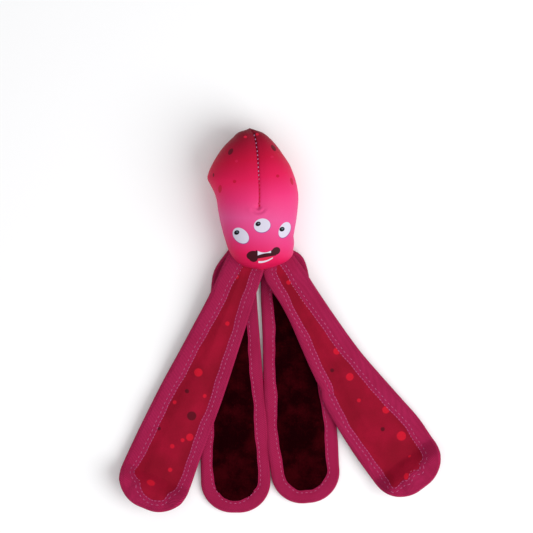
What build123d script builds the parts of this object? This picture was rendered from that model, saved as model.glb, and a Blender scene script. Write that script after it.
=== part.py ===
from build123d import *

import os
from dataclasses import dataclass
from math import asin, cos, radians, sin

# A soft toy that lies on its back: a stuffed head with a squeaker in it, and four flat cloth arms sewn in
# under its chin. Millimetres. +Z is up, out of the face. +Y runs up to the crown, and the arms run down to -Y.
# The origin is the middle of the patch that the back of the head rests on.

# ---- Head ----
crown_y = 55.0
chin_y = -48.0
head_half_width = 32.0
seam_height = 24.0  # the side seam, where the head is widest
face_swell = 26.0  # how far the face stands above the side seam
back_swell = 30.0  # the same below it, before the table flattens the back
head_skin = 1.2
base_panel_y = -33.0  # where the base panel meets the back panel
face_cap_turn = radians(78)  # the last outline of the loft, close to the top of the face
head_sections = 8

# The head's outline at the side seam, clockwise from the crown: shares of the half width, and of the length
# from the chin. The head is a little turned, so its two sides differ.
head_outline = [
    (-0.11, 1.0),
    (0.32, 0.925),
    (0.61, 0.813),
    (0.845, 0.672),
    (0.96, 0.5),
    (0.915, 0.355),
    (0.862, 0.203),
    (0.735, 0.077),
    (0.19, 0.0),
    (-0.25, 0.028),
    (-0.5, 0.086),
    (-0.656, 0.188),
    (-0.797, 0.328),
    (-0.894, 0.5),
    (-1.07, 0.643),
    (-0.985, 0.74),
    (-0.728, 0.866),
    (-0.437, 0.952),
]

# The dart in the forehead, from the crown down: shares of the same kind.
dart_line = [(-0.06, 0.93), (0.04, 0.85), (0.07, 0.7), (0.08, 0.56), (0.06, 0.44)]
thread_width = 0.7
thread_depth = 0.4

# ---- Squeaker ----
squeaker_radius = 15.0
squeaker_wall = 1.2
squeaker_floor = 11.0  # height of the cup's underside
cup_height = 12.0
dome_height = 13.0
dome_lap = 3.5  # how deep the dome's rim sits in the cup at rest
squeaker_fit = 0.4  # between the dome and the cup
stuffing_fit = 0.3  # between the stuffing and what it lies against
whistle_radius = 4.0
whistle_bore = 2.6
whistle_height = 9.0
flange_radius = 6.0
flange_height = 1.4
whistle_fit = 0.05
reed_width = 3.6
reed_thickness = 0.3
reed_height = 6.0

# ---- Arms ----
tape = 0.8  # thickness of the binding
printed_cloth = 0.9
film = 0.3
velour_cloth = 1.4
arm_thickness = tape + printed_cloth + film + velour_cloth + tape
tape_on_print = 12.0  # width of the binding as it shows on the printed side
tape_on_velour = 9.4
tape_fold = 1.0  # from the binding's fold to the edge of the panels in it
film_margin = 2.0  # from the edge of the panels to the edge of the film
stitch_width = 0.6
stitch_depth = 0.3
print_rows = (0.6, 3.4)  # rows of stitches, from the binding's inner edge
velour_rows = (1.7,)
hinge_gap = 2.9  # bare length on each side of a fold
arm_gap = 0.6  # between neighbouring arms
layer_gap = 0.4  # between the front arms and the back arms under them
corner_radius = 23.0
root_tuck = 14.0  # how far an arm's root runs up under the head, past its fold
root_corner = 2.0  # its upper end stays this far inside the tuck
root_thickness = 3.0
cutter_run = 1.0  # how far a cutting shape passes what it cuts


@dataclass
class Pair:
    """Two arms that fold on the same lines. The lines run along X, and the cloth above the lower one may slope."""

    level: float  # height of the underside of the lower part
    curl_y: float  # the lower fold
    root_run: float  # along the cloth, from the lower fold up to the root fold
    root_height: float  # height of the root fold

    def __post_init__(self):
        self.fold_height = self.level + arm_thickness / 2
        self.slope = asin((self.root_height - self.fold_height) / self.root_run)

    def plane(self, part, height):
        """The plane at a height above the underside of a part, with its y at 0 on the lower fold."""
        turn = 0 if part == "lower" else self.slope
        middle = Plane(origin=(0, self.curl_y, self.fold_height), x_dir=(1, 0, 0), z_dir=(0, -sin(turn), cos(turn)))
        return middle.offset(height - arm_thickness / 2)


@dataclass
class Arm:
    """One arm's cut. The root point lies on the arm's middle line, and the heading turns from -Y towards +X."""

    name: str
    pair: Pair
    root_x: float
    heading: float
    length: float
    root_width: float
    quarter_width: float
    middle_width: float
    full_width: float
    printed_up: bool

    def at(self, along, across):
        turn = radians(self.heading)
        x = self.root_x + along * sin(turn) + across * cos(turn)
        return x, self.pair.root_run - along * cos(turn) + across * sin(turn)


back_pair = Pair(level=0, curl_y=-192.5, root_run=146.5, root_height=arm_thickness / 2)
front_pair = Pair(level=arm_thickness + layer_gap, curl_y=-131.0, root_run=80.5, root_height=16.0)
arms = [
    Arm("front_left", front_pair, -11.0, -23.4, 185.0, 28.5, 39.5, 48.0, 50.4, True),
    Arm("front_right", front_pair, 20.5, 33.0, 184.5, 29.5, 41.0, 49.0, 53.0, True),
    Arm("back_left", back_pair, -15.3, 0.0, 178.3, 32.0, 39.5, 46.0, 51.0, False),
    Arm("back_right", back_pair, 22.5, 5.5, 172.0, 32.0, 41.0, 47.5, 50.0, False),
]


def save(part, name):
    part.label = name
    export_step(part, f"parts/{name}.step")


def place(shares, shrink=1.0):
    """A point of the head given in shares of its half width and of its length."""
    across, along = shares
    return across * head_half_width * shrink, (chin_y + along * (crown_y - chin_y)) * shrink


def head_form(inset):
    """The stuffed head, drawn in all round by the inset: outlines lofted from the resting patch up to the face."""
    shrink = 1 - inset / head_half_width
    lowest = -asin((seam_height - inset) / (back_swell - inset))
    with BuildPart() as form:
        for section in range(head_sections + 1):
            turn = lowest + (face_cap_turn - lowest) * section / head_sections
            swell = back_swell if turn < 0 else face_swell
            with BuildSketch(Plane.XY.offset(seam_height + (swell - inset) * sin(turn))):
                with BuildLine():
                    Spline(*[place(point, shrink * cos(turn)) for point in head_outline], periodic=True)
                make_face()
        loft()
    return form.part


def arm_outline(arm):
    """An arm's cut, laid flat: a strip that widens from its root and ends in two round corners."""
    half_widths = [
        (-root_tuck, arm.root_width / 2),
        (arm.length / 4, arm.quarter_width / 2),
        (arm.length / 2, arm.middle_width / 2),
        (arm.length, arm.full_width / 2),
    ]
    side = [arm.at(along, half) for along, half in half_widths]
    other_side = [arm.at(along, -half) for along, half in reversed(half_widths)]
    gentle = arm.length
    with BuildSketch() as outline:
        with BuildLine():
            edge = FilletPolyline(
                *side, *other_side, radius=[gentle, gentle, corner_radius, corner_radius, gentle, gentle]
            )
            Line(edge @ 1, edge @ 0)
        make_face()
    return outline.sketch


def arm_cut(arm, neighbour):
    """The outline, cut back where the neighbour lies in the same layer."""
    with BuildSketch() as cut:
        add(arm_outline(arm))
        if neighbour is not None:
            offset(arm_outline(neighbour), amount=arm_gap, mode=Mode.SUBTRACT)
    return cut.sketch


def cloth(cut, bottom, top, inset):
    """The stretch of a cut between two heights of its sheet, drawn in from the cut's edge by the inset."""
    with BuildSketch() as stretch:
        add(cut)
        if inset > 0:
            offset(amount=-inset)
        with Locations((0, (bottom + top) / 2)):
            Rectangle(8 * head_half_width + 8 * corner_radius, top - bottom, mode=Mode.INTERSECT)
    return stretch.sketch


def plate(pair, part, shape, low, high):
    """A flat shape raised between two heights above a part's underside."""
    with BuildPart() as raised:
        with BuildSketch(pair.plane(part, low)):
            add(shape)
        extrude(amount=high - low)
    return raised.part


def thread_rows(cut, bottom, top, edge, rows):
    """Flat lines of stitching at given distances outside the binding's inner edge."""
    with BuildSketch() as lines:
        for row in rows:
            add(cloth(cut, bottom, top, edge - row - stitch_width / 2))
            add(cloth(cut, bottom, top, edge - row + stitch_width / 2), mode=Mode.SUBTRACT)
    return lines.sketch


os.makedirs("parts", exist_ok=True)

# ---- The head's panels and its seams ----
outer = head_form(0)
inner = head_form(head_skin)
under_thread = head_form(thread_depth)

with BuildPart() as head_dart_thread:
    with BuildSketch(Plane.XY.offset(seam_height)):
        with BuildLine():
            Spline(*[place(point) for point in dart_line])
        trace(line_width=thread_width)
    extrude(amount=face_swell)
    add(outer, mode=Mode.INTERSECT)
    add(under_thread, mode=Mode.SUBTRACT)
save(head_dart_thread.part, "head_dart_thread")

with BuildPart() as head_front_panel:
    add(outer)
    add(inner, mode=Mode.SUBTRACT)
    split(bisect_by=Plane.XY.offset(seam_height + thread_width / 2), keep=Keep.TOP)
    add(head_dart_thread.part, mode=Mode.SUBTRACT)
save(head_front_panel.part, "head_front_panel")

with BuildPart() as head_side_seam_thread:
    add(outer)
    add(inner, mode=Mode.SUBTRACT)
    split(bisect_by=Plane.XY.offset(seam_height + thread_width / 2), keep=Keep.BOTTOM)
    split(bisect_by=Plane.XY.offset(seam_height - thread_width / 2), keep=Keep.TOP)
save(head_side_seam_thread.part, "head_side_seam_thread")

with BuildPart() as lower_skin:
    add(outer)
    add(inner, mode=Mode.SUBTRACT)
    split(bisect_by=Plane.XY.offset(seam_height - thread_width / 2), keep=Keep.BOTTOM)

with BuildPart() as head_back_panel:
    add(lower_skin)
    split(bisect_by=Plane.XZ.offset(-base_panel_y), keep=Keep.BOTTOM)
save(head_back_panel.part, "head_back_panel")

with BuildPart() as head_base_panel:
    add(lower_skin)
    split(bisect_by=Plane.XZ.offset(-base_panel_y), keep=Keep.TOP)
save(head_base_panel.part, "head_base_panel")

# ---- The squeaker, which the dome works when it is pressed down into the cup ----
cup_top = squeaker_floor + cup_height
dome_foot = cup_top - dome_lap
flange_foot = squeaker_floor - flange_height

with BuildPart(Plane.XY.offset(squeaker_floor)) as squeaker_cup:
    Cylinder(squeaker_radius, cup_height, align=(Align.CENTER, Align.CENTER, Align.MIN))
    fillet(squeaker_cup.edges().group_by(Axis.Z)[0], radius=2 * squeaker_wall)
    offset(amount=-squeaker_wall, openings=squeaker_cup.faces().sort_by(Axis.Z)[-1])
    Cylinder(whistle_radius + whistle_fit, 4 * squeaker_wall, mode=Mode.SUBTRACT)
save(squeaker_cup.part, "squeaker_cup")

dome_radius = squeaker_radius - squeaker_wall - squeaker_fit
with BuildPart(Plane.XY.offset(dome_foot)) as squeaker_dome:
    Cylinder(dome_radius, dome_height, align=(Align.CENTER, Align.CENTER, Align.MIN))
    fillet(squeaker_dome.edges().group_by(Axis.Z)[-1], radius=dome_radius / 2)
    offset(amount=-squeaker_wall, openings=squeaker_dome.faces().sort_by(Axis.Z)[0])
save(squeaker_dome.part, "squeaker_dome")

with BuildPart(Plane.XY.offset(flange_foot)) as squeaker_whistle:
    Cylinder(flange_radius, flange_height, align=(Align.CENTER, Align.CENTER, Align.MIN))
    Cylinder(whistle_radius, whistle_height + flange_height, align=(Align.CENTER, Align.CENTER, Align.MIN))
    Cylinder(whistle_bore, 4 * whistle_height, mode=Mode.SUBTRACT)
save(squeaker_whistle.part, "squeaker_whistle")

with BuildPart(Plane.XY.offset(squeaker_floor)) as squeaker_reed:
    Box(reed_width, reed_thickness, reed_height, align=(Align.CENTER, Align.CENTER, Align.MIN))
save(squeaker_reed.part, "squeaker_reed")

cavity_foot = flange_foot - stuffing_fit
cavity_top = dome_foot + dome_height + stuffing_fit
with BuildPart() as head_stuffing:
    add(head_form(head_skin + stuffing_fit / 2))
    with Locations((0, 0, cavity_foot)):
        Cylinder(
            squeaker_radius + stuffing_fit,
            cavity_top - cavity_foot,
            align=(Align.CENTER, Align.CENTER, Align.MIN),
            mode=Mode.SUBTRACT,
        )
save(head_stuffing.part, "head_stuffing")

# ---- The arms: each has a root sewn to the head, an upper part and a lower part, with a fold between them ----
neighbours = {"front_right": arms[0], "back_right": arms[2]}

for arm in arms:
    pair = arm.pair
    cut = arm_cut(arm, neighbours.get(arm.name))

    root_bottom = pair.root_run + hinge_gap
    with BuildPart() as root:
        root_shape = cloth(cut, root_bottom, pair.root_run + root_tuck - root_corner, tape_fold)
        spare = (arm_thickness - root_thickness) / 2
        add(plate(pair, "upper", root_shape, spare, arm_thickness - spare))
        add(outer, mode=Mode.SUBTRACT)
    save(root.part, f"{arm.name}_root")

    for part in ("upper", "lower"):
        if part == "upper":
            bottom, top = hinge_gap, pair.root_run - hinge_gap
        else:
            bottom, top = -arm.length, -hinge_gap
        run_bottom, run_top = bottom - cutter_run, top + cutter_run
        name = f"{arm.name}_{part}"

        # Heights above the underside, layer by layer. The velour side of a front arm lies down, and of a back arm up.
        first_cloth = velour_cloth if arm.printed_up else printed_cloth
        film_low = tape + first_cloth
        film_high = film_low + film
        panels_top = arm_thickness - tape
        low_edge, high_edge = (tape_on_velour, tape_on_print) if arm.printed_up else (tape_on_print, tape_on_velour)
        low_rows, high_rows = (velour_rows, print_rows) if arm.printed_up else (print_rows, velour_rows)
        low_name, high_name = ("velour", "printed") if arm.printed_up else ("printed", "velour")

        panel = cloth(cut, bottom, top, tape_fold)
        save(plate(pair, part, panel, tape, film_low), f"{name}_{low_name}_panel")
        save(plate(pair, part, panel, film_high, panels_top), f"{name}_{high_name}_panel")
        film_sheet = cloth(cut, bottom, top, tape_fold + film_margin)
        save(plate(pair, part, film_sheet, film_low, film_high), f"{name}_crackle_film")

        low_lines = thread_rows(cut, bottom, top, low_edge, low_rows)
        high_lines = thread_rows(cut, bottom, top, high_edge, high_rows)
        with BuildPart() as thread:
            add(plate(pair, part, low_lines, 0, stitch_depth))
            add(plate(pair, part, high_lines, arm_thickness - stitch_depth, arm_thickness))
        save(thread.part, f"{name}_thread")

        with BuildPart() as binding:
            add(plate(pair, part, cloth(cut, bottom, top, 0), 0, arm_thickness))
            slot = cloth(cut, run_bottom, run_top, tape_fold)
            add(plate(pair, part, slot, tape, panels_top), mode=Mode.SUBTRACT)
            low_window = cloth(cut, run_bottom, run_top, low_edge)
            add(plate(pair, part, low_window, -cutter_run, film_low), mode=Mode.SUBTRACT)
            high_window = cloth(cut, run_bottom, run_top, high_edge)
            add(plate(pair, part, high_window, film_high, arm_thickness + cutter_run), mode=Mode.SUBTRACT)
            add(thread.part, mode=Mode.SUBTRACT)
        save(binding.part, f"{name}_binding")
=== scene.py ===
from math import cos, pi, radians, sin

import bpy
import numpy as np
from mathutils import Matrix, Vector


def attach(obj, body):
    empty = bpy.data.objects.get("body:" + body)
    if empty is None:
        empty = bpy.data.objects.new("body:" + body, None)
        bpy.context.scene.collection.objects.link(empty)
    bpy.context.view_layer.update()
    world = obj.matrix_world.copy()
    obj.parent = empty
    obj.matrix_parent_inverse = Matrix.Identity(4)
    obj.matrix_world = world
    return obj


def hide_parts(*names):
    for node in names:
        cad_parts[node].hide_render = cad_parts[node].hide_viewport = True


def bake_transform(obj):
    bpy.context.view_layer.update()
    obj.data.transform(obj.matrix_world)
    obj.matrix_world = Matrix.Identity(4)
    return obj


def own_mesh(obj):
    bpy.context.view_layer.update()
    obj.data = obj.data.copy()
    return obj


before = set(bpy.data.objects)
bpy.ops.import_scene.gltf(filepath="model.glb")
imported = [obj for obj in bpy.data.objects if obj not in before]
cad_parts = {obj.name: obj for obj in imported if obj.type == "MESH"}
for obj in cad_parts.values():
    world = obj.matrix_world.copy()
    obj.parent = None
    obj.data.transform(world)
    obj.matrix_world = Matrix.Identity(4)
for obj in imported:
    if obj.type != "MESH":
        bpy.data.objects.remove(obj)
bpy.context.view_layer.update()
bpy.ops.object.select_all(action="DESELECT")
mm = 0.001  # every size below is in millimetres, unless it is multiplied by this

# ---------------------------------------------------------------- table, light and camera
# The toy lies on its back on a pale sheet, under two broad soft lights. The camera looks
# straight down on it through a long lens, with the crown at the top of the picture.


def srgb(code):
    """A colour written as six hex digits, as the linear numbers that a shader takes."""
    shares = [int(code[i : i + 2], 16) / 255 for i in (0, 2, 4)]
    return tuple(s / 12.92 if s <= 0.04045 else ((s + 0.055) / 1.055) ** 2.4 for s in shares) + (1.0,)


class Wire:
    """A socket of a material's nodes. Sums and products of wires add Math nodes."""

    def __init__(self, shop, socket):
        self.shop, self.socket = shop, socket

    def math(self, operation, *others):
        values = {i: w for i, w in enumerate((self, *others))}
        return self.shop.node("ShaderNodeMath", {"operation": operation}, values)

    def __add__(self, other):
        return self.math("ADD", other)

    def __radd__(self, other):
        return self.math("ADD", other)

    def __sub__(self, other):
        return self.math("SUBTRACT", other)

    def __rsub__(self, other):
        return self.shop.node("ShaderNodeMath", {"operation": "SUBTRACT"}, {0: other, 1: self})

    def __mul__(self, other):
        return self.math("MULTIPLY", other)

    def __rmul__(self, other):
        return self.math("MULTIPLY", other)

    def __truediv__(self, other):
        return self.math("DIVIDE", other)


class Shop:
    """One material and its nodes."""

    def __init__(self, name, roughness=0.7, gloss=0.08, **shader):
        self.material = bpy.data.materials.new(name)
        self.material.use_nodes = True
        self.tree = self.material.node_tree
        self.shader = self.tree.nodes["Principled BSDF"]
        self.shader.inputs["Roughness"].default_value = roughness
        self.shader.inputs["Specular IOR Level"].default_value = gloss
        for socket, value in shader.items():
            self.shader.inputs[socket.replace("_", " ")].default_value = value

    def node(self, kind, settings=None, values=None, out=0):
        made = self.tree.nodes.new(kind)
        for name, setting in (settings or {}).items():
            if name == "stops":
                while len(made.color_ramp.elements) < len(setting):
                    made.color_ramp.elements.new(0.5)
                for element, (place, colour) in zip(made.color_ramp.elements, setting):
                    element.position, element.color = place, colour
            else:
                setattr(made, name, setting)
        for socket, value in (values or {}).items():
            if isinstance(value, Wire):
                self.tree.links.new(value.socket, made.inputs[socket])
            else:
                made.inputs[socket].default_value = value
        return Wire(self, made.outputs[out])

    def feed(self, socket, wire):
        self.tree.links.new(wire.socket, self.shader.inputs[socket])

    def print_place(self):
        """Across and along the cloth in millimetres, from the piece's own map, which is in metres."""
        place = self.node("ShaderNodeUVMap", {"uv_map": "cloth"})
        parts = self.node("ShaderNodeSeparateXYZ", values={0: place})
        along = Wire(self, parts.socket.node.outputs[1])
        return place, parts * 1000.0, along * 1000.0

    def mix(self, share, first, second):
        return self.node(
            "ShaderNodeMix", {"data_type": "RGBA"}, {"Factor": share, 6: first, 7: second}, out=2
        )

    def noise(self, place, scale, detail=2.0, roughness=0.5):
        values = {"Vector": place, "Scale": scale, "Detail": detail, "Roughness": roughness}
        return self.node("ShaderNodeTexNoise", values=values)

    def step(self, wire, low, high):
        """0 below low, 1 above high, smooth between; low may be the larger."""
        return self.node(
            "ShaderNodeMapRange",
            {"interpolation_type": "SMOOTHSTEP"},
            {"Value": wire, "From Min": low, "From Max": high},
        )

    def bump(self, height, distance, strength=1.0):
        values = {"Height": height, "Distance": distance, "Strength": strength}
        return self.node("ShaderNodeBump", values=values)


def plain(name, colour, roughness):
    """A stage material."""
    shop = Shop(name, roughness)
    shop.shader.inputs["Base Color"].default_value = colour
    return shop.material


table_size, table_drop = 8, 0.2 * mm  # metres
bpy.ops.mesh.primitive_plane_add(size=table_size, location=(0, 0, -table_drop))
table = bpy.context.object
table.name = "table"
table.data.materials.append(plain("pale_table", (0.93, 0.93, 0.94, 1), 0.9))

world = bpy.data.worlds.new("room")
bpy.context.scene.world = world
world.use_nodes = True
world.node_tree.nodes["Background"].inputs["Color"].default_value = (1, 1, 1, 1)
world.node_tree.nodes["Background"].inputs["Strength"].default_value = 0.54


def softbox(name, place, target, size, power):
    """A round area light. Places and size are in metres, power in watts."""
    light = bpy.data.lights.new(name, "AREA")
    light.shape, light.size, light.energy = "DISK", size, power
    lamp = bpy.data.objects.new(name, light)
    bpy.context.collection.objects.link(lamp)
    lamp.location = place
    lamp.rotation_euler = (Vector(target) - Vector(place)).to_track_quat("-Z", "Y").to_euler()


toy_middle = (0, -0.08, 0)
softbox("key", (1.0, -0.6, 1.15), toy_middle, 1.5, 21.5)
softbox("fill", (-0.3, -0.5, 1.7), toy_middle, 1.3, 5)

lens = bpy.data.cameras.new("camera")
lens.lens, lens.sensor_width, lens.clip_end = 200, 36, 20
camera = bpy.data.objects.new("camera", lens)
bpy.context.collection.objects.link(camera)
camera.location = (7.7 * mm, -44.9 * mm, 2.16)
bpy.context.scene.camera = camera
bpy.context.scene.view_settings.view_transform = "Standard"

# ---------------------------------------------------------------- head cover
# Two printed stretch-cloth panels, cut to shape and sewn along the side seam, with a dart from the
# crown to the forehead. The cover is packed tight with fibre.


def through(points, at):
    """A smooth curve through points (x, y), read at the x values."""
    xs, ys = np.array(points, float).T
    at = np.clip(np.asarray(at, float), xs[0], xs[-1])
    slopes = np.gradient(ys, xs)
    i = np.clip(np.searchsorted(xs, at) - 1, 0, len(xs) - 2)
    run = xs[i + 1] - xs[i]
    t = (at - xs[i]) / run
    rest = 1 - t
    ends = (1 + 2 * t) * rest**2 * ys[i] + t**2 * (3 - 2 * t) * ys[i + 1]
    return ends + run * t * rest * (rest * slopes[i] - t * slopes[i + 1])


def ease(x, low, high):
    """0 at low, 1 at high, smooth between."""
    t = np.clip((np.asarray(x, float) - low) / (high - low), 0, 1)
    return t * t * (3 - 2 * t)


def sheet_mesh(name, points, cloth, closed_across=False, caps=False):
    """A grid of points (rows, columns, 3), in millimetres, as a mesh with its cloth map."""
    rows, columns = points.shape[:2]
    index = np.arange(rows * columns).reshape(rows, columns)
    if closed_across:
        index = np.concatenate([index, index[:, :1]], axis=1)
    corner = [index[:-1, :-1], index[:-1, 1:], index[1:, 1:], index[1:, :-1]]
    faces = np.stack(corner, axis=-1).reshape(-1, 4).tolist()
    if caps:
        faces += [list(range(columns))[::-1], list(range((rows - 1) * columns, rows * columns))]
    mesh = bpy.data.meshes.new(name)
    mesh.from_pydata((points.reshape(-1, 3) * mm).tolist(), [], faces)
    layer = mesh.uv_layers.new(name="cloth")
    corners = np.array([c.vertex_index for c in mesh.loops])
    layer.data.foreach_set("uv", (cloth.reshape(-1, 2)[corners] * mm).astype(np.float32).ravel())
    mesh.polygons.foreach_set("use_smooth", [True] * len(mesh.polygons))
    return mesh


sharp_from = radians(55)


def link(name, mesh, material):
    mesh.set_sharp_from_angle(angle=sharp_from)
    piece = bpy.data.objects.new(name, mesh)
    bpy.context.collection.objects.link(piece)
    mesh.materials.append(material)
    return piece


def apply_modifier(piece, kind, **settings):
    bpy.ops.object.select_all(action="DESELECT")
    bpy.context.view_layer.objects.active = piece
    piece.select_set(True)
    modifier = piece.modifiers.new(kind.title(), kind)
    for name, setting in settings.items():
        setattr(modifier, name, setting)
    bpy.ops.object.modifier_apply(modifier=modifier.name)
    piece.data.set_sharp_from_angle(angle=sharp_from)
    piece.select_set(False)


head_crown, head_chin = 55.0, -47.8
head_middle, head_reach = (head_crown + head_chin) / 2, (head_crown - head_chin) / 2
seam_height = 24.0
face_rise = back_fall = 25.5  # how far the head swells above and below the seam
cover_thick = 1.0
# The head's outline, and the dart's line, as (along, across).
left_side = [
    (-47.8, 3.0), (-45.6, -6.5), (-43.4, -11.2), (-40.2, -15.0), (-33.7, -19.4), (-26.2, -22.0), (-16.0, -24.9),
    (-4.3, -27.3), (3.7, -28.5), (9.0, -30.3), (14.6, -33.2), (18.3, -35.0), (22.5, -34.3), (28.5, -31.7),
    (35.0, -28.0), (41.5, -23.3), (47.6, -17.2), (52.7, -11.0), (head_crown, -5.0),
]
right_side = [
    (-47.8, 5.0), (-46.3, 11.0), (-44.2, 15.6), (-42.3, 20.4), (-39.3, 24.6), (-36.5, 26.6), (-31.8, 27.3),
    (-27.2, 27.7), (-23.0, 27.3), (-18.8, 28.0), (-11.3, 29.3), (-2.0, 30.4), (3.7, 30.8), (13.1, 29.8),
    (21.5, 27.4), (29.0, 24.2), (36.0, 19.6), (42.5, 14.9), (47.6, 10.2), (51.3, 5.6), (53.9, 0.0),
    (head_crown, -4.0),
]
dart_points = [(-2.9, 1.8), (3.7, 2.7), (11.0, 2.6), (25.6, 1.8), (40.2, 0.7), (51.1, -1.9), (head_crown, -4.2)]
dart_foot = (1.7, -3.4)  # across and along


def head_shell(round_turns, inset=0.0):
    """Points over the head for turns about its long axis: 0 is the right seam, a quarter the face."""
    steps = 190
    along = np.linspace(0, pi, steps)[:, None]
    y = head_middle + head_reach * np.cos(along) + 0 * round_turns
    share = np.abs(np.cos(along))
    left, right = through(left_side, y), through(right_side, y)
    ends = np.clip(np.sin(along), 0, 1) ** 0.82
    end_round = np.minimum(1, (1 - share**5) * 4) ** 0.5
    both = left + right
    left = both / 2 + (left - right) / 2 * end_round
    right = both - left
    crown = ease(y, 5, head_crown)
    rise = (face_rise - 4 * crown) * ends
    fall = (back_fall - 3 * crown) * ends
    middle = (left + right) / 2
    half = (right - left) / 2
    turn = np.broadcast_to(round_turns, y.shape)
    c, s = np.cos(turn), np.sin(turn)
    x = middle + np.maximum(half - inset, 0.02 * half) * np.sign(c) * np.abs(c) ** 0.92
    lift = np.maximum(np.where(s > 0, rise, fall) - inset, 0.02 * rise)
    z = seam_height + lift * np.sign(s) * np.abs(s) ** 0.96
    y = head_middle + (y - head_middle) * (1 - inset / head_reach)
    # The two panels draw in a little at the side seam.
    seam = np.exp(-(((z - seam_height) / 1.1) ** 2))
    x = x - np.sign(c) * 0.45 * seam * (half > 3)
    # The dart is a narrow valley that ends in a dimple, with a low roll of cloth under it.
    beside = x - through(dart_points, y)
    on_dart = ease(y, -4.5, -1.0) * (s > 0)
    valley = (0.5 + 0.9 * crown) * np.exp(-((beside / 0.9) ** 2))
    valley = valley + (0.7 + 1.6 * crown) * np.exp(-((beside / 4.5) ** 2))
    foot = np.hypot((x - dart_foot[0]) / 1.2, y - dart_foot[1])
    dimple = 1.9 * np.exp(-((foot / 1.8) ** 2)) * (s > 0)
    below = np.hypot((x - dart_foot[0]) / 1.25, y - dart_foot[1] - 0.5)
    under = ease(dart_foot[1] - y, -1.0, 2.2) * (s > 0)
    groove = 0.75 * np.exp(-(((below - 3.6) / 0.9) ** 2)) * under
    lips = 0.6 * np.exp(-((below - 1.9) ** 2)) + 0.35 * np.exp(-(((below - 5.6) / 1.4) ** 2))
    depth = (valley * on_dart + dimple - (lips * under - groove)) * ease(ends, 0.05, 0.4)
    z = z - depth * np.clip(s, 0, 1)
    # Slow swells, where the fibre packs unevenly.
    z = z + 0.45 * np.sin(x / 9.0 + 1.0) * np.sin(y / 13.0 + 0.4) * s
    # The table flattens the back.
    z = np.where(z < 1.0, np.exp(np.minimum(z - 1.0, 0)), z)
    return np.stack([x, y, z], axis=-1)


def ellipse(shop, across, along, centre, radii, tilt=0.0, soft=0.12):
    """1 inside an ellipse of the print, with its long axis turned by tilt degrees from across."""
    x, y = across - centre[0], along - centre[1]
    c, s = cos(radians(tilt)), sin(radians(tilt))
    major = (x * c + y * s) / radii[0]
    minor = (y * c - x * s) / radii[1]
    reach = (major * major + minor * minor).math("SQRT")
    edge = soft / min(radii)
    return shop.step(reach, 1 + edge, 1 - edge)


def knit_finish(shop, place):
    """The fine loops and soft gloss of stretch cloth."""
    loops = shop.node("ShaderNodeTexVoronoi", values={"Vector": place, "Scale": 1700.0})
    slow = shop.noise(place, 60.0, 3.0)
    shop.feed("Normal", shop.bump(loops + slow * 0.6, 0.00009, 0.55))
    shop.feed("Roughness", 0.44 + slow * 0.16)


def head_colour(shop, along, across):
    """Dark at the crown, bright over the brow and cheeks, deep pink again at the chin."""
    stops = [
        (0.00, srgb("b80e40")), (0.10, srgb("d01450")), (0.22, srgb("d23674")), (0.36, srgb("d64c88")),
        (0.50, srgb("dc3070")), (0.64, srgb("d41850")), (0.78, srgb("bc0c38")), (0.90, srgb("98082c")),
        (1.00, srgb("700620")),
    ]
    height = (along - head_chin) / (head_crown - head_chin)
    # The light band across the eyes is wide on the right and narrow on the left, which draws the left side
    # darker: painted shade of the light that falls from the right.
    tilt = ((height - 0.40) * 8.0).math("MAXIMUM", -1.0).math("MINIMUM", 1.0)
    return shop.node("ShaderNodeValToRGB", {"stops": stops}, {0: height - across * tilt * 0.0018})


cover_print = Shop("printed_stretch_face", 0.5, gloss=0.1)
place, across, along = cover_print.print_place()
colour = head_colour(cover_print, along, across)

faint_spot, red_spot, bright_spot, dark_spot = srgb("c81a48"), srgb("b40e30"), srgb("e0183c"), srgb("500a1c")
head_spots = [
    ((-18.0, 37.4), (2.6, 1.5), 58, dark_spot), ((12.7, 40.2), (2.6, 1.3), -55, dark_spot),
    ((-30.3, 20.7), (1.4, 0.5), 90, dark_spot), ((-7.5, 48.1), (1.2, 0.9), 0, bright_spot),
    ((1.0, 50.1), (1.2, 0.9), 0, bright_spot), ((-15.1, 15.8), (1.2, 1.2), 0, red_spot),
    ((-25.6, 10.7), (2.8, 1.3), 85, red_spot), ((15.7, 19.8), (1.2, 1.1), 0, red_spot),
    ((25.8, 16.3), (2.7, 1.0), 105, red_spot), ((-13.7, 30.4), (1.1, 1.0), 0, faint_spot),
    ((11.7, 33.6), (1.1, 0.9), 0, faint_spot),
]
for centre, radii, tilt, paint in head_spots:
    colour = cover_print.mix(ellipse(cover_print, across, along, centre, radii, tilt) * 0.85, colour, paint)

eye_white, eye_shade, pupil, glint = srgb("c8c4d4"), srgb("6a4a8c"), srgb("07070c"), srgb("66788a")
eyes = [
    ((-10.7, -22.8), (6.6, 4.7), -42, (-13.6, -20.6)), ((4.6, -15.6), (5.9, 4.9), 10, (1.7, -14.5)),
    ((20.7, -18.7), (6.0, 3.8), 62, (18.8, -18.2)),
]
for centre, radii, tilt, look in eyes:
    shade = (centre[0] + 0.1, centre[1] - 0.35)
    rim = ellipse(cover_print, across, along, shade, (radii[0] + 0.2, radii[1] + 0.2), tilt, 0.25)
    colour = cover_print.mix(rim * 0.75, colour, eye_shade)
    colour = cover_print.mix(ellipse(cover_print, across, along, centre, radii, tilt), colour, eye_white)
    colour = cover_print.mix(ellipse(cover_print, across, along, look, (1.95, 1.6), 25), colour, pupil)
    spark = (look[0] + 0.35, look[1] + 0.3)
    shine = ellipse(cover_print, across, along, spark, (0.6, 0.45), 0, 0.3) * 0.8
    colour = cover_print.mix(shine, colour, glint)

# The mouth: two round corners joined by a bowed band, teeth above, a tongue and teeth below.
mouth, teeth, tongue = srgb("3a0a16"), srgb("cfc8d8"), srgb("cc2848")


def between(shop, wire, low, high, soft=0.15):
    """1 where the wire lies between two others."""
    return shop.step(wire - low, -soft, soft) * shop.step(wire - high, soft, -soft)


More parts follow.
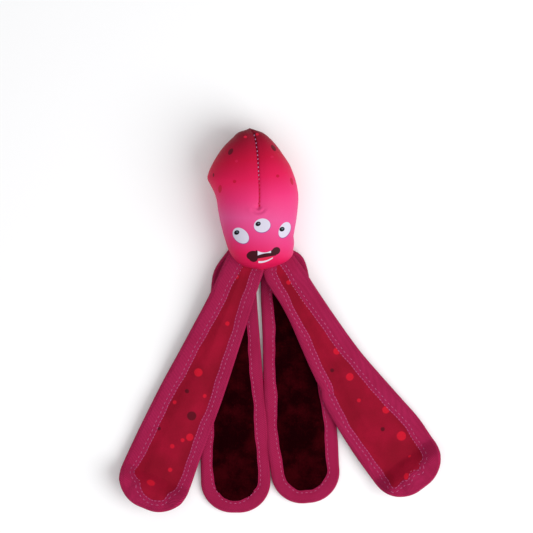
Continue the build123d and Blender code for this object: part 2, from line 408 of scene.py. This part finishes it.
from_corner = across - 1.3
teeth_top = (across - 6.0) * (across - 6.0) * 0.054 - 34.9
teeth_low = from_corner * 0.19 - (across - 6.2) * (across - 6.2) * 0.022 - 36.5
band_low = from_corner * 0.175 - 39.3
strip_top = (across - 1.8) * (across - 1.8) * 0.0371 - (across - 1.8) * 0.133 - 40.9
strip_low = strip_top + (across - 1.8) * 0.07 - 1.5
band = between(cover_print, along, band_low, teeth_top) * between(cover_print, across, 0.0, 14.5)
for shape in (
    ellipse(cover_print, across, along, (-2.0, -37.0), (4.6, 3.3), 5),
    ellipse(cover_print, across, along, (-1.7, -38.7), (3.3, 2.9), -20),
    ellipse(cover_print, across, along, (14.5, -33.8), (3.2, 2.6), 35),
    band,
):
    colour = cover_print.mix(shape, colour, mouth)
shape = between(cover_print, along, teeth_low, teeth_top) * between(cover_print, across, 1.4, 10.9)
colour = cover_print.mix(shape, colour, teeth)
shape = between(cover_print, along, strip_top, band_low) * between(cover_print, across, 1.3, 12.6)
colour = cover_print.mix(shape * 0.85, colour, tongue)
shape = between(cover_print, along, strip_low, strip_top) * between(cover_print, across, 1.9, 12.2)
colour = cover_print.mix(shape, colour, teeth)

# Needle holes along the dart, drawn as painted shade in the holes, and a painted shade line down the dart's
# crease.
hole_pitch = 2.9
line = 2.7 - (along - 5.0) * (along - 5.0) * 0.0017
beside = (across - line).math("ABSOLUTE")
beat = (along / hole_pitch).math("FRACT")
hole = cover_print.step(beside, 0.75, 0.4) * cover_print.step((beat - 0.5).math("ABSOLUTE"), 0.30, 0.22)
hole = hole * cover_print.step(along, -3.5, -2.5)
# Painted shade: a darker line down the dart's crease.
crease = cover_print.step(beside, 1.0, 0.2) * cover_print.step(along, -4.5, -2.5) * 0.35
colour = cover_print.mix(crease, colour, srgb("a80c38"))
# Painted shade in the needle holes, darker towards the crown.
hole_shade_colour = cover_print.mix(cover_print.step(along, 10.0, 45.0), srgb("b80a34"), srgb("4c0416"))
colour = cover_print.mix(hole * 0.9, colour, hole_shade_colour)
cover_print.feed("Base Color", colour)
knit_finish(cover_print, place)

back_print = Shop("printed_stretch_back", 0.5, gloss=0.1)
place, across, along = back_print.print_place()
colour = head_colour(back_print, along, across)
for centre, radii, tilt, paint in head_spots:
    mirrored = (-centre[0] - 4.0, centre[1] - 9.0)
    colour = back_print.mix(ellipse(back_print, across, along, mirrored, radii, -tilt) * 0.85, colour, paint)
back_print.feed("Base Color", colour)
knit_finish(back_print, place)

face_turns = np.linspace(0, pi, 150)
back_turns = np.linspace(pi, 2 * pi, 120)
for name, turns, shop, nodes in (
    ("head_face_cover", face_turns, cover_print, ("head_front_panel", "head_side_seam_thread")),
    ("head_back_cover", back_turns, back_print, ("head_back_panel", "head_base_panel")),
):
    points = head_shell(turns[None, :])
    mesh = sheet_mesh(name, points, points[:, :, :2])
    cover = link(name, mesh, shop.material)
    apply_modifier(cover, "SOLIDIFY", thickness=cover_thick * mm, offset=-1.0)
    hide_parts(*nodes)
    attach(cover, "head")
    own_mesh(cover)

# ---------------------------------------------------------------- fibre fill and dart stitches
# A lump of polyester fibre keeps the cover tight. The dart is closed by one row of stitches that
# show as short pale dashes near the crown, and sink into the red cloth nearer the eyes.
fill_shop = Shop("fibre_fill", 0.95)
place = fill_shop.node("ShaderNodeTexCoord", out=3)
tufts = fill_shop.noise(place, 220.0, 6.0, 0.7)
fill_shop.feed("Base Color", fill_shop.mix(tufts, srgb("d8d8d6"), srgb("f6f6f4")))
fill_shop.feed("Normal", fill_shop.bump(tufts, 0.0008))
fill_inset, pole_rows = 2.6, 4  # the rows of points at each pole are left off
turns = np.linspace(0, 2 * pi, 90, endpoint=False)
points = head_shell(turns[None, :], inset=fill_inset)[pole_rows:-pole_rows]
mesh = sheet_mesh("head_fibre_fill", points, points[:, :, :2], closed_across=True, caps=True)
fill = link("head_fibre_fill", mesh, fill_shop.material)
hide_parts("head_stuffing")
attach(fill, "head")
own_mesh(fill)


def stitch_mesh(name, starts, ends, ups, width, height):
    """A row of stitches as one mesh: a short rounded bar from each start to its end."""
    way = (ends - starts) / np.linalg.norm(ends - starts, axis=1, keepdims=True)
    side = np.cross(way, ups)
    side = side / np.linalg.norm(side, axis=1, keepdims=True)
    sides = 6
    rings = ((0.0, 0.35), (0.15, 0.85), (0.5, 1.0), (0.85, 0.85), (1.0, 0.35))
    spread = []
    for share, size in rings:
        centre = starts + (ends - starts) * share + ups * height * (0.4 * size - 0.15)
        for turn in np.arange(sides) / sides * 2 * pi:
            out = side * width / 2 * size * cos(turn) + ups * height / 2 * size * sin(turn)
            spread.append(centre + out)
    points = np.stack(spread, axis=1)
    around = np.arange(sides)
    ahead = (around + 1) % sides
    wall = np.stack([around, ahead, ahead + sides, around + sides], axis=-1)
    walls = np.concatenate([wall + ring * sides for ring in range(len(rings) - 1)])
    first = np.arange(len(starts)) * sides * len(rings)
    last = first + sides * (len(rings) - 1)
    faces = (first[:, None, None] + walls[None]).reshape(-1, 4).tolist()
    faces += (first[:, None] + around[::-1][None]).tolist() + (last[:, None] + around[None]).tolist()
    mesh = bpy.data.meshes.new(name)
    mesh.from_pydata((points.reshape(-1, 3) * mm).tolist(), [], faces)
    mesh.polygons.foreach_set("use_smooth", [True] * len(mesh.polygons))
    return mesh


def thread_shop(name, light, dark, sunk=None):
    """Twisted thread: slanted plies and a soft gloss. Where y is under `sunk` it takes the cloth's red."""
    shop = Shop(name, 0.5, gloss=0.25)
    place = shop.node("ShaderNodeTexCoord", out=3)
    bands = {"bands_direction": "DIAGONAL"}
    plies = shop.node("ShaderNodeTexWave", bands, {"Vector": place, "Scale": 900.0})
    colour = shop.mix(plies, srgb(dark), srgb(light))
    if sunk is not None:
        along = shop.node("ShaderNodeSeparateXYZ", {}, {0: place}, out=1)
        colour = shop.mix(shop.step(along, (sunk - 6) * mm, (sunk + 6) * mm), srgb("c01038"), colour)
    shop.feed("Base Color", colour)
    shop.feed("Normal", shop.bump(plies, 0.00008))
    return shop.material


pale_thread = thread_shop("pale_thread", "bc98c0", "946a9a", sunk=18)
dart_top, dart_bottom = 50.5, -2.0
half_slant, half_length, stitch_lift = 0.12, 0.6, 0.25
probe = head_shell(np.linspace(0.25 * pi, 0.75 * pi, 200)[None, :])
starts, ends = [], []
for y in np.arange(np.ceil(dart_bottom / hole_pitch) * hole_pitch, dart_top, hole_pitch):
    x = float(through(dart_points, y))
    row = np.argmin(np.abs(probe[:, 0, 1] - y))
    z = probe[row, np.argmin(np.abs(probe[row, :, 0] - x)), 2] + stitch_lift
    starts.append((x - half_slant, y - half_length, z))
    ends.append((x + half_slant, y + half_length, z))
ups = np.tile([0.0, 0.0, 1.0], (len(starts), 1))
starts, ends = np.array(starts), np.array(ends)
mesh = stitch_mesh("head_dart_stitches", starts, ends, ups, width=0.7, height=0.5)
stitches = link("head_dart_stitches", mesh, pale_thread)
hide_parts("head_dart_thread")
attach(stitches, "head")
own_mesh(stitches)

# ---------------------------------------------------------------- arms: how they lie
# Four flat arms hang from the base of the head, two over two. Each is a printed cloth and a velour
# cloth with crackle film between, bound with folded tape. The front pair slopes down from the chin.


class Arm:
    """How one arm lies.

    start is where it leaves the head. headings, left, right and heights are (along, value) points:
    the way it runs in degrees from straight down, its half widths, and its middle's height. tray is
    how far the end turns up, split is where the cloth is cut in two, and phase sets its waves.
    taped is the tape's width on the upper side, left and right, and gathers are the places on the
    run where it is wider or narrower: (run, by how much, spread).
    """

    def __init__(
        self, name, printed_up, start, headings, length, left, right, heights, tray, split, phase, taped, gathers
    ):
        self.name, self.printed_up, self.length, self.tray = name, printed_up, length, tray
        self.left, self.right, self.heights = left, right, heights
        self.split, self.phase, self.taped, self.gathers = split, phase, taped, gathers
        self.root = left[0][0]
        self.steps = np.arange(self.root, length + 12, 0.5)
        turn = np.radians(through(headings, self.steps))
        run = np.stack([np.sin(turn), -np.cos(turn)], axis=-1) * 0.5
        line = np.concatenate([[[0, 0]], np.cumsum((run[1:] + run[:-1]) / 2, axis=0)])
        at_hinge = [np.interp(0, self.steps, line[:, k]) for k in (0, 1)]
        self.line, self.turn = line + np.array(start) - at_hinge, turn

    def middle(self, along, across):
        """The middle of the arm's thickness."""
        turn = np.interp(along, self.steps, self.turn)
        x = np.interp(along, self.steps, self.line[:, 0]) + across * np.cos(turn)
        y = np.interp(along, self.steps, self.line[:, 1]) + across * np.sin(turn)
        width = np.where(across < 0, through(self.left, along), through(self.right, along))
        share = np.abs(across) / width
        z = through(self.heights, along)
        # The edges wave a little, and the end turns up like a tray.
        z = z + 0.5 * share**2 * (1 + np.sin(along / 7.5 + self.phase + 2 * np.sign(across)))
        z = z + self.tray * ease(along, self.length - 25, self.length - 11)
        z = z - self.tray * 0.12 * np.exp(-(((along - self.length + 25) / 8) ** 2))
        # Short creases fan out round each corner.
        out, down = np.abs(across) - width + corner_radius, along - self.length + corner_radius + 6
        turned, reach = np.arctan2(out, down), np.hypot(out, down)
        crease = np.sin(turned * 7.5 + self.phase) * ease(reach, 9, 22) * ease(np.abs(across), 5, 14)
        z = z + self.tray * 0.11 * crease * ease(along, self.length - 24, self.length - 12)
        corner = ease(along, self.length - 45, self.length - 8) * share**3
        z = z + self.tray * 0.35 * corner
        # Long soft folds run slantwise over the cloth.
        fold = np.sin((along * 0.8 + across * 0.9) / 8.5 + self.phase) * np.sin(along / 23.0 + 2 * self.phase)
        z = z + 0.35 * (1 + fold) * ease(along, 5, 40) * (1 - 0.6 * share**2)
        return np.stack(np.broadcast_arrays(x, y, z), axis=-1)

    def lay(self, along, across, height):
        """A point of the arm, given flat: along and across it, and its height from the middle."""
        given = (np.asarray(v, float) for v in (along, across, height))
        along, across, height = np.broadcast_arrays(*given)
        centre = self.middle(along, across)
        down = self.middle(along + 0.5, across) - self.middle(along - 0.5, across)
        over = self.middle(along, across + 0.5) - self.middle(along, across - 0.5)
        up = np.cross(over, -down)
        up = up / np.linalg.norm(up, axis=-1, keepdims=True)
        up = up * np.sign(up[..., 2:3])
        return centre + up * height[..., None], up

    def rim(self):
        """The edge of the arm, laid flat: points, the way inward, and the run along it."""
        radius, end = corner_radius, self.length
        sides = np.arange(self.root, end - radius, rim_step)
        arc = np.linspace(0, pi / 2, 44)
        flat_left, flat_right = self.left[-1][1] - radius, self.right[-1][1] - radius
        left = np.stack([sides, -through(self.left, sides)], axis=-1)
        right = np.stack([sides, through(self.right, sides)], axis=-1)[::-1]
        turn_from = end - radius
        turned = np.stack([turn_from + radius * np.sin(arc), -flat_left - radius * np.cos(arc)], axis=-1)
        back = np.stack([turn_from + radius * np.cos(arc), flat_right + radius * np.sin(arc)], axis=-1)
        flat = np.stack([np.full(8, end), np.linspace(-flat_left, flat_right, 10)[1:-1]], axis=-1)
        points = np.concatenate([left, turned, flat, back, right])
        gap = np.linalg.norm(np.diff(points, axis=0), axis=1)
        points = points[np.concatenate([[True], gap > 0.05])]
        run = np.concatenate([[0], np.cumsum(np.linalg.norm(np.diff(points, axis=0), axis=1))])
        even = np.linspace(0, run[-1], int(run[-1] / rim_step))
        points = np.stack([np.interp(even, run, points[:, k]) for k in (0, 1)], axis=-1)
        way = np.gradient(points, axis=0)
        way = way / np.linalg.norm(way, axis=1, keepdims=True)
        for _ in range(6):
            way[1:-1] = (way[:-2] + 2 * way[1:-1] + way[2:]) / 4
        way = way / np.linalg.norm(way, axis=1, keepdims=True)
        inward = np.stack([-way[:, 1], way[:, 0]], axis=-1)
        return points, inward, even


corner_radius = 23.0
half_thick, tape_thick = 2.1, 0.8
rim_step, panel_step = 0.9, 1.1  # how finely edges and panels are modelled
front_heights = [(-14, 17.4), (0, 15.6), (20, 13.0), (50, 9.6), (80, 7.3), (105, 6.5), (150, 6.3), (185, 6.4)]
back_heights = [(-13, 9.0), (-6, 6.0), (0, 4.2), (8, 2.8), (20, 2.2), (60, 2.1), (185, 2.1)]
front_left_side = [
    (-14, 14.2), (0, 14.8), (20, 15.2), (46, 17.2), (70, 19.2), (92, 21.2), (115, 22.6), (135, 23.6),
    (161, 24.4), (185, 24.4),
]
front_left_inner = [(-14, 14.2), (0, 15.2), (46, 19.8), (92, 24.2), (135, 26.4), (161, 28.0), (185, 28.0)]
front_right_inner = [
    (-14, 9.0), (-9, 12.2), (-4, 13.6), (2, 13.8), (15, 13.2), (30, 13.8), (50, 16.4), (70, 19.2), (80, 20.4),
    (85, 21.0), (89, 23.4), (95, 24.6), (112, 26.2), (135, 27.6), (160, 27.8), (184.5, 27.8),
]
front_right_side = [
    (-14, 12.6), (0, 14.2), (23, 15.2), (56, 17.2), (77, 18.8), (100, 21.6), (123, 24.2), (142, 26.0),
    (160, 25.4), (184.5, 25.4),
]
back_left_side = [
    (-13, 5.0), (-9, 8.0), (-4.4, 11.6), (0, 14.3), (5, 16.2), (10, 17.0), (16, 17.6), (43, 19.9), (89, 23.0),
    (130, 25.2), (154, 24.9), (178.3, 24.9),
]
back_left_inner = [
    (-13, 13.5), (0, 14.9), (14, 15.6), (60, 19.0), (107, 23.0), (135, 25.2), (154, 26.0), (178.3, 26.0),
]
back_right_inner = [
    (-13, 16.5), (0, 18.9), (14, 20.4), (43, 21.9), (89, 25.0), (125, 26.6), (148, 25.6), (172, 25.6),
]
back_right_side = [
    (-13, 5.0), (-10, 9.6), (-7, 12.2), (-3, 13.9), (1, 14.8), (5, 15.4), (12, 15.9), (43, 20.2), (89, 24.0),
    (125, 25.6), (148, 24.6), (172, 24.6),
]
front_tray, back_tray = 9.0, 0.6
arms = [
    Arm(
        "front_left", True, (-11.0, -51.0), [(-14, -23.0), (60, -23.6), (120, -23.4), (185, -22.4)], 183.2,
        front_left_side, front_left_inner, front_heights, front_tray, split=42, phase=0.6, taped=(12.4, 9.2),
        gathers=((4, 1.6, 22), (179, -2.4, 7), (194, 1.2, 4), (214, -1.6, 9), (238, 1.2, 5)),
    ),
    Arm(
        "front_right", True, (20.5, -51.0), [(-14, 30.5), (60, 31.6), (110, 35.0), (184, 37.0)], 184.5,
        front_right_inner, front_right_side, front_heights, front_tray, split=45, phase=2.1, taped=(9.4, 12.6),
        gathers=(
            (44, -1.5, 22), (192, -3.6, 4), (204, 1.8, 6), (217, 3.4, 5), (233, 2.4, 5), (398, 1.2, 20),
        ),
    ),
    Arm(
        "back_left", False, (-15.3, -46.0), [(-13, 0.0), (178, 0.0)], 178.3,
        back_left_side, back_left_inner, back_heights, back_tray, split=74, phase=3.3, taped=(9.2, 9.2),
        gathers=((186, 1.6, 10), (229, 1.6, 10)),
    ),
    Arm(
        "back_right", False, (22.5, -46.0), [(-13, 4.6), (60, 5.4), (172, 5.5)], 172.0,
        back_right_inner, back_right_side, back_heights, back_tray, split=74, phase=4.4, taped=(9.2, 9.2),
        gathers=((180, 1.6, 10), (220, 1.6, 10)),
    ),
]
# Where the cloth starts and stops bending, down the toy: at the root fold, and at the curl fold.
hinges = {True: ((-46, -58), (-128, -142)), False: ((-41, -51), (-185.5, -199.5))}


def hang(piece, arm, half, layer):
    """Takes the CAD nodes' place for a half of an arm's layer."""
    (root_from, root_to), (curl_from, curl_to) = hinges[arm.printed_up]
    if half == "root":
        bodies, start, end, part = ("head", f"{arm.name}_upper"), root_from, root_to, "upper"
    else:
        bodies, start, end, part = (f"{arm.name}_upper", f"{arm.name}_lower"), curl_from, curl_to, "lower"
    nodes = [f"{arm.name}_{part}_{layer}"]
    if half == "root" and layer == "binding":
        nodes.append(f"{arm.name}_root")
    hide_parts(*nodes)
    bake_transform(piece)


# ---------------------------------------------------------------- arms: printed cloth, film and velour
# The printed cloth is a plain weave with round spots. The velour has a dense pile, with its sheen painted
# as lighter patches and flecks. The film between them crackles. All three end inside the fold of the tape.


def printed_shop(name, spots):
    shop = Shop(name, 0.75)
    place, across, along = shop.print_place()
    slow = shop.noise(place, 28.0, 3.0)
    colour = shop.mix(shop.step(slow, 0.35, 0.7), srgb("860822"), srgb("a00c2e"))
    for (down, aside), radius, paint in spots:
        radii = radius if isinstance(radius, tuple) else (radius, radius)
        spot = ellipse(shop, across, along, (aside, down), radii, soft=0.35)
        colour = shop.mix(spot * 0.92, colour, srgb(paint))
    threads = shop.node("ShaderNodeTexChecker", values={"Vector": place, "Scale": 3600.0}, out=1)
    grain = shop.noise(place, 900.0, 2.0)
    shop.feed("Base Color", shop.mix(grain * 0.35, colour, srgb("6a0820")))
    shop.feed("Normal", shop.bump(threads * 0.5 + grain + slow * 3.0, 0.00012, 0.7))
    return shop.material


def velour_shop():
    sheen = {"Sheen_Weight": 0.05, "Sheen_Roughness": 0.35, "Sheen_Tint": srgb("c01018")}
    shop = Shop("velour", 0.9, gloss=0.0, **sheen)
    place, _, _ = shop.print_place()
    pile_sheen_noise = shop.noise(place, 45.0, 5.0, 0.62)
    tufts = shop.noise(place, 750.0, 4.0, 0.7)
    # Painted sheen: lighter red patches, and lighter flecks on the tufts, stand in for the light off the pile.
    painted_sheen = shop.step(pile_sheen_noise + tufts * 0.25, 0.52, 0.82)
    colour = shop.mix(painted_sheen, srgb("160103"), srgb("320308"))
    colour = shop.mix(shop.step(tufts, 0.60, 0.78) * 0.5, colour, srgb("5c0a12"))
    lint = shop.noise(place, 330.0, 1.0)
    colour = shop.mix(shop.step(lint, 0.82, 0.86) * 0.5, colour, srgb("8a4448"))
    shop.feed("Base Color", colour)
    shop.feed("Normal", shop.bump(tufts + pile_sheen_noise * 1.5, 0.0005, 0.9))
    return shop.material


film_shop = Shop("crackle_film", 0.25, gloss=0.5)
place, _, _ = film_shop.print_place()
nearest_edge = {"feature": "DISTANCE_TO_EDGE"}
wrinkles = film_shop.node("ShaderNodeTexVoronoi", nearest_edge, {"Vector": place, "Scale": 90.0})
film_shop.feed("Base Color", film_shop.mix(wrinkles, srgb("c9c9c9"), srgb("efefef")))
film_shop.feed("Normal", film_shop.bump(wrinkles, 0.0006))

bright, dark = "d0142e", "4c0a18"
print_spots = {
    "front_left": [
        ((2, -2), 1.5, bright), ((36, 5), 1.6, bright), ((77, 0), 3.0, bright),
        ((104, -7), 1.4, bright), ((91, 11), 1.4, bright), ((123, 13), 2.7, bright),
        ((127, 9), 1.4, bright), ((134, 4), 1.6, bright), ((150, 9), 1.5, bright),
        ((166, 0), (3.0, 1.6), bright), ((93, -2), 1.5, dark), ((108, 8), 3.3, dark),
        ((126, -10), 1.4, dark),
    ],
    "front_right": [
        ((6, 0), 1.6, bright), ((43, -8), 1.2, bright), ((67, 4), 2.5, bright),
        ((88, 2), 2.8, bright), ((106, -2), 1.4, bright), ((123, 10), 2.7, bright),
        ((145, 8), 3.3, bright), ((162, 4), 1.2, bright), ((172, -6), 2.5, bright),
        ((77, -6), 1.4, dark), ((133, 0), 1.5, dark),
    ],
    "back": [
        ((30, -6), 3.6, bright), ((52, 7), 2.0, bright), ((70, -9), 3.2, dark),
        ((88, 5), 3.9, bright), ((109, -6), 1.9, bright), ((124, 10), 3.3, bright),
        ((140, -4), 2.0, dark), ((156, 6), 3.5, bright),
    ],
}
printed = {name: printed_shop(f"printed_{name}", spots) for name, spots in print_spots.items()}
velour = velour_shop()

cloth_inset, film_inset = 2.4, 3.4  # from the arm's edge to the cloths' and the film's
panel_top, film_top = 1.3, 0.25  # from the arm's middle to their outer faces at the edge
upper_foot, lower_foot, film_foot = 0.45, 0.25, -0.05
cloth_swell, cloth_sink, pucker_height = 1.1, 0.25, 0.13
lowest_cloth = 0.4
plain_reach = 10.6  # the tape's width on the lower side


def panel_grid(arm, half, inset):
    """Flat places over half of an arm's cloth: along, across, and how far in from the edge."""
    end = arm.length - inset
    if half == "root":
        along = np.linspace(arm.root, arm.split, int((arm.split - arm.root) / panel_step))
    else:
        turned = end - (corner_radius - inset) * (1 - np.sin(np.linspace(0, pi / 2, 26)))
        straight = np.linspace(arm.split, turned[0], int((turned[0] - arm.split) / panel_step))
        along = np.concatenate([straight[:-1], turned])
    radius = corner_radius - inset
    past = np.clip((along - (end - radius)) / radius, 0, 1)
    cut = radius * (1 - np.sqrt(1 - past**2)) + inset
    left, right = through(arm.left, along)[:, None], through(arm.right, along)[:, None]
    low, high = -(left[:, 0] - cut), right[:, 0] - cut
    share = np.linspace(0, 1, 52)[None, :]
    across = low[:, None] + (high - low)[:, None] * share
    along = along[:, None] + 0 * share
    # Distance in from the edge, round the corners as well.
    sideways = np.maximum(-across - left, across - right) + corner_radius
    endways = along - (arm.length - corner_radius)
    outside = np.hypot(np.maximum(sideways, 0), np.maximum(endways, 0))
    return along, across, corner_radius - outside - np.minimum(np.maximum(sideways, endways), 0)


def make_panel(arm, half, layer, side, foot, top, material):
    film = layer == "crackle_film"
    along, across, edge = panel_grid(arm, half, film_inset if film else cloth_inset)
    if film:
        puff = 0 * edge
    else:
        # The cloth sinks under the tape, swells in the opening, and puckers along the stitches.
        opening = max(arm.taped) if side > 0 else plain_reach
        puff = ease(edge, opening + 0.6, opening + 8) * cloth_swell
        puff = puff - cloth_sink * (1 - ease(edge, opening - 0.5, opening + 1.5))
        away = np.clip(edge - opening, 0, None)
        pucker = np.sin(along / 1.05 + across * 0.35 + arm.phase) * np.exp(-away / 3.2)
        puff = puff + pucker_height * pucker * ease(edge, opening + 0.4, opening + 2.4)
    points, _ = arm.lay(along, across, side * (top + puff))
    points[..., 2] = np.maximum(points[..., 2], lowest_cloth)
    mesh = sheet_mesh(f"{arm.name}_{half}_{layer}", points, np.stack([across, along], axis=-1))
    if side < 0:
        mesh.flip_normals()
    piece = link(mesh.name, mesh, material)
    apply_modifier(piece, "SOLIDIFY", thickness=abs(top - foot) * mm, offset=-1.0)
    hang(piece, arm, half, layer)


# ---------------------------------------------------------------- arms: binding tape and its stitches
# Twill tape is folded over the edge of each arm and sewn through: two rows on the printed side, one
# on the velour side. The stitches pull the tape's edge into slow waves.
fold_inset = 2.0  # the tape's round edge starts this far in


def tape_shop():
    shop = Shop("binding_tape", 0.8)
    place, across, along = shop.print_place()
    ribs = ((along + across * 1.1) * (2 * pi / 1.3)).math("SINE") * 0.5 + 0.5
    yarns = ((along - across * 2.2) * (2 * pi / 0.55)).math("SINE") * 0.5 + 0.5
    fuzz = shop.noise(place, 1200.0, 3.0)
    slow = shop.noise(place, 40.0, 2.0)
    colour = shop.mix(ribs * 0.85 + fuzz * 0.15, srgb("740a30"), srgb("cc2c64"))
    colour = shop.mix(shop.step(slow, 0.35, 0.7) * 0.35, colour, srgb("98143e"))
    shop.feed("Base Color", colour)
    shop.feed("Normal", shop.bump(ribs + yarns * 0.2 + fuzz * 0.2, 0.0003, 1.0))
    return shop.material


tape = tape_shop()
thread = thread_shop("thread", "c4608e", "983a68")


def tape_reach(arm, run, side):
    """How far in from the edge the tape goes on one side."""
    left, right = arm.taped if side > 0 else (plain_reach, plain_reach)
    opening = left + (right - left) * ease(run, run[-1] / 2 - 15, run[-1] / 2 + 15)
    for place, gather, spread in arm.gathers if (side > 0) else ():
        opening = opening + gather * np.exp(-(((run - place) / spread) ** 2))
    wave = 0.3 * np.sin(run / 3.3 + arm.phase) * np.sin(run / 11.0 + 2)
    return opening + (wave + 0.4 * np.sin(run / 7.9 + 3 * arm.phase))


def tape_height(arm, run, inset, side):
    """The tape's outer face, up from the arm's middle: puffed between the rows of stitches."""
    reach = tape_reach(arm, run, side)
    rows = stitch_rows(arm, side)
    puff = 0.3 * np.sin(np.clip(inset / reach, 0, 1) * pi) + 0 * run
    for row, pitch in rows:
        beside = (inset - (reach - row)) / 0.9
        puff = puff - (0.2 + 0.08 * np.cos(run * 2 * pi / pitch)) * np.exp(-(beside**2))
    return half_thick + puff


def stitch_rows(arm, side):
    """Each row of stitches: its distance out from the tape's inner edge, and its pitch."""
    return [(0.6, 2.5), (3.4, 3.6)] if (side > 0) == arm.printed_up else [(1.7, 3.4)]


def tape_ring(arm, run):
    """The tape's section, as insets and heights: from its inner edge on top, round the fold, and back
    on the lower side. The third value is the place on the cloth's own map."""
    insets, heights, cloth = [], [], []
    for face, skin in (("outer", 0.0), ("inner", tape_thick)):
        part = []
        for side in (1, -1):
            reach = tape_reach(arm, run, side)
            for share in np.linspace(1, 0.0, 15)[:-1] if side > 0 else np.linspace(0, 1, 15)[1:]:
                inset = fold_inset + (reach - fold_inset) * share
                part.append((inset, side * (tape_height(arm, run, inset, side) - skin), side * (inset + 2)))
            if side > 0:
                for turn in np.linspace(0.4 * pi, -0.4 * pi, 7):
                    out, up = (fold_inset - 0.1 - skin) * cos(turn), (half_thick - skin) * sin(turn)
                    part.append((fold_inset - out + 0 * run, up + 0 * run, turn * 1.6 + 0 * run))
        part = part if face == "outer" else part[::-1]
        insets += [p[0] for p in part]
        heights += [p[1] for p in part]
        cloth += [p[2] for p in part]
    return np.stack(insets, axis=-1), np.stack(heights, axis=-1), np.stack(cloth, axis=-1)


def make_binding(arm, half):
    rim, inward, run = arm.rim()
    insets, heights, cloth = tape_ring(arm, run)
    flat = rim[:, None, :] + inward[:, None, :] * insets[:, :, None]
    points, _ = arm.lay(flat[..., 0], flat[..., 1], heights)
    marks = np.stack([cloth, np.broadcast_to(run[:, None], cloth.shape)], axis=-1)
    last = np.argmax(rim[:, 0] > arm.split)
    first = len(rim) - np.argmax(rim[::-1, 0] > arm.split) - 1
    if half == "root":
        spans = [slice(0, last + 1), slice(first, len(rim))]
    else:
        spans = [slice(last, first + 1)]
    names = [f"{arm.name}_{half}_binding{'' if k == 0 else '_right'}" for k in range(len(spans))]
    made = [link(n, sheet_mesh(n, points[s], marks[s], True, True), tape) for n, s in zip(names, spans)]
    if len(made) > 1:
        bpy.ops.object.select_all(action="DESELECT")
        for piece in made:
            piece.select_set(True)
        bpy.context.view_layer.objects.active = made[0]
        bpy.ops.object.join()
    hang(made[0], arm, half, "binding")
    length = sum(run[s][-1] - run[s][0] for s in spans) * mm


def make_stitches(arm, half):
    rim, inward, run = arm.rim()
    starts, ends, ups = [], [], []
    for side in (1, -1):
        for row, pitch in stitch_rows(arm, side):
            reach = tape_reach(arm, run, side)
            flat = rim + inward * (reach - row)[:, None]
            step = np.linalg.norm(np.diff(flat, axis=0), axis=1)
            walk = np.concatenate([[0], np.cumsum(step)])
            length = pitch * (0.62 if row < 1 else 0.5)
            at = np.arange(2, walk[-1] - 4, pitch)
            bars = []
            for where in (at, at + length):
                a, c = (np.interp(where, walk, flat[:, k]) for k in (0, 1))
                edge_run = np.interp(where, walk, run)
                inset = tape_reach(arm, edge_run, side) - row
                height = side * (tape_height(arm, edge_run, inset, side) + 0.03)
                bars.append(arm.lay(a, c, height))
            keep = (np.interp(at, walk, rim[:, 0]) < arm.split) == (half == "root")
            starts.append(bars[0][0][keep])
            ends.append(bars[1][0][keep])
            ups.append(bars[0][1][keep] * side)
    bars = (np.concatenate(v) for v in (starts, ends, ups))
    mesh = stitch_mesh(f"{arm.name}_{half}_stitches", *bars, width=0.5, height=0.36)
    piece = link(mesh.name, mesh, thread)
    hang(piece, arm, half, "thread")


for arm in arms:
    cloths = [
        ("printed_panel", printed.get(arm.name, printed["back"]), "printed_panel"),
        ("velour_panel", velour, "velour"),
    ]
    upper, lower = cloths if arm.printed_up else cloths[::-1]
    for half in ("root", "end"):
        for side, foot, (layer, material, slot_name) in ((1, upper_foot, upper), (-1, lower_foot, lower)):
            make_panel(arm, half, layer, side, foot, panel_top, material)
        make_panel(arm, half, "crackle_film", 1, film_foot, film_top, film_shop.material)
        make_binding(arm, half)
        make_stitches(arm, half)

# ---------------------------------------------------------------- squeaker
# A moulded plastic squeaker sits in the fibre: a cup with a whistle and reed, and a dome that is
# pressed down into it. Its CAD pieces stay, in soft natural plastic.
plastic = Shop("squeaker_plastic", 0.45, gloss=0.5)
place = plastic.node("ShaderNodeTexCoord", out=3)
haze = plastic.noise(place, 150.0, 3.0)
plastic.feed("Base Color", plastic.mix(haze, srgb("e4e4de"), srgb("f2f2ee")))
plastic.feed("Roughness", 0.38 + haze * 0.15)
for name in ("squeaker_cup", "squeaker_whistle", "squeaker_reed", "squeaker_dome"):
    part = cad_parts[name]
    part.data.materials.clear()
    part.data.materials.append(plastic.material)
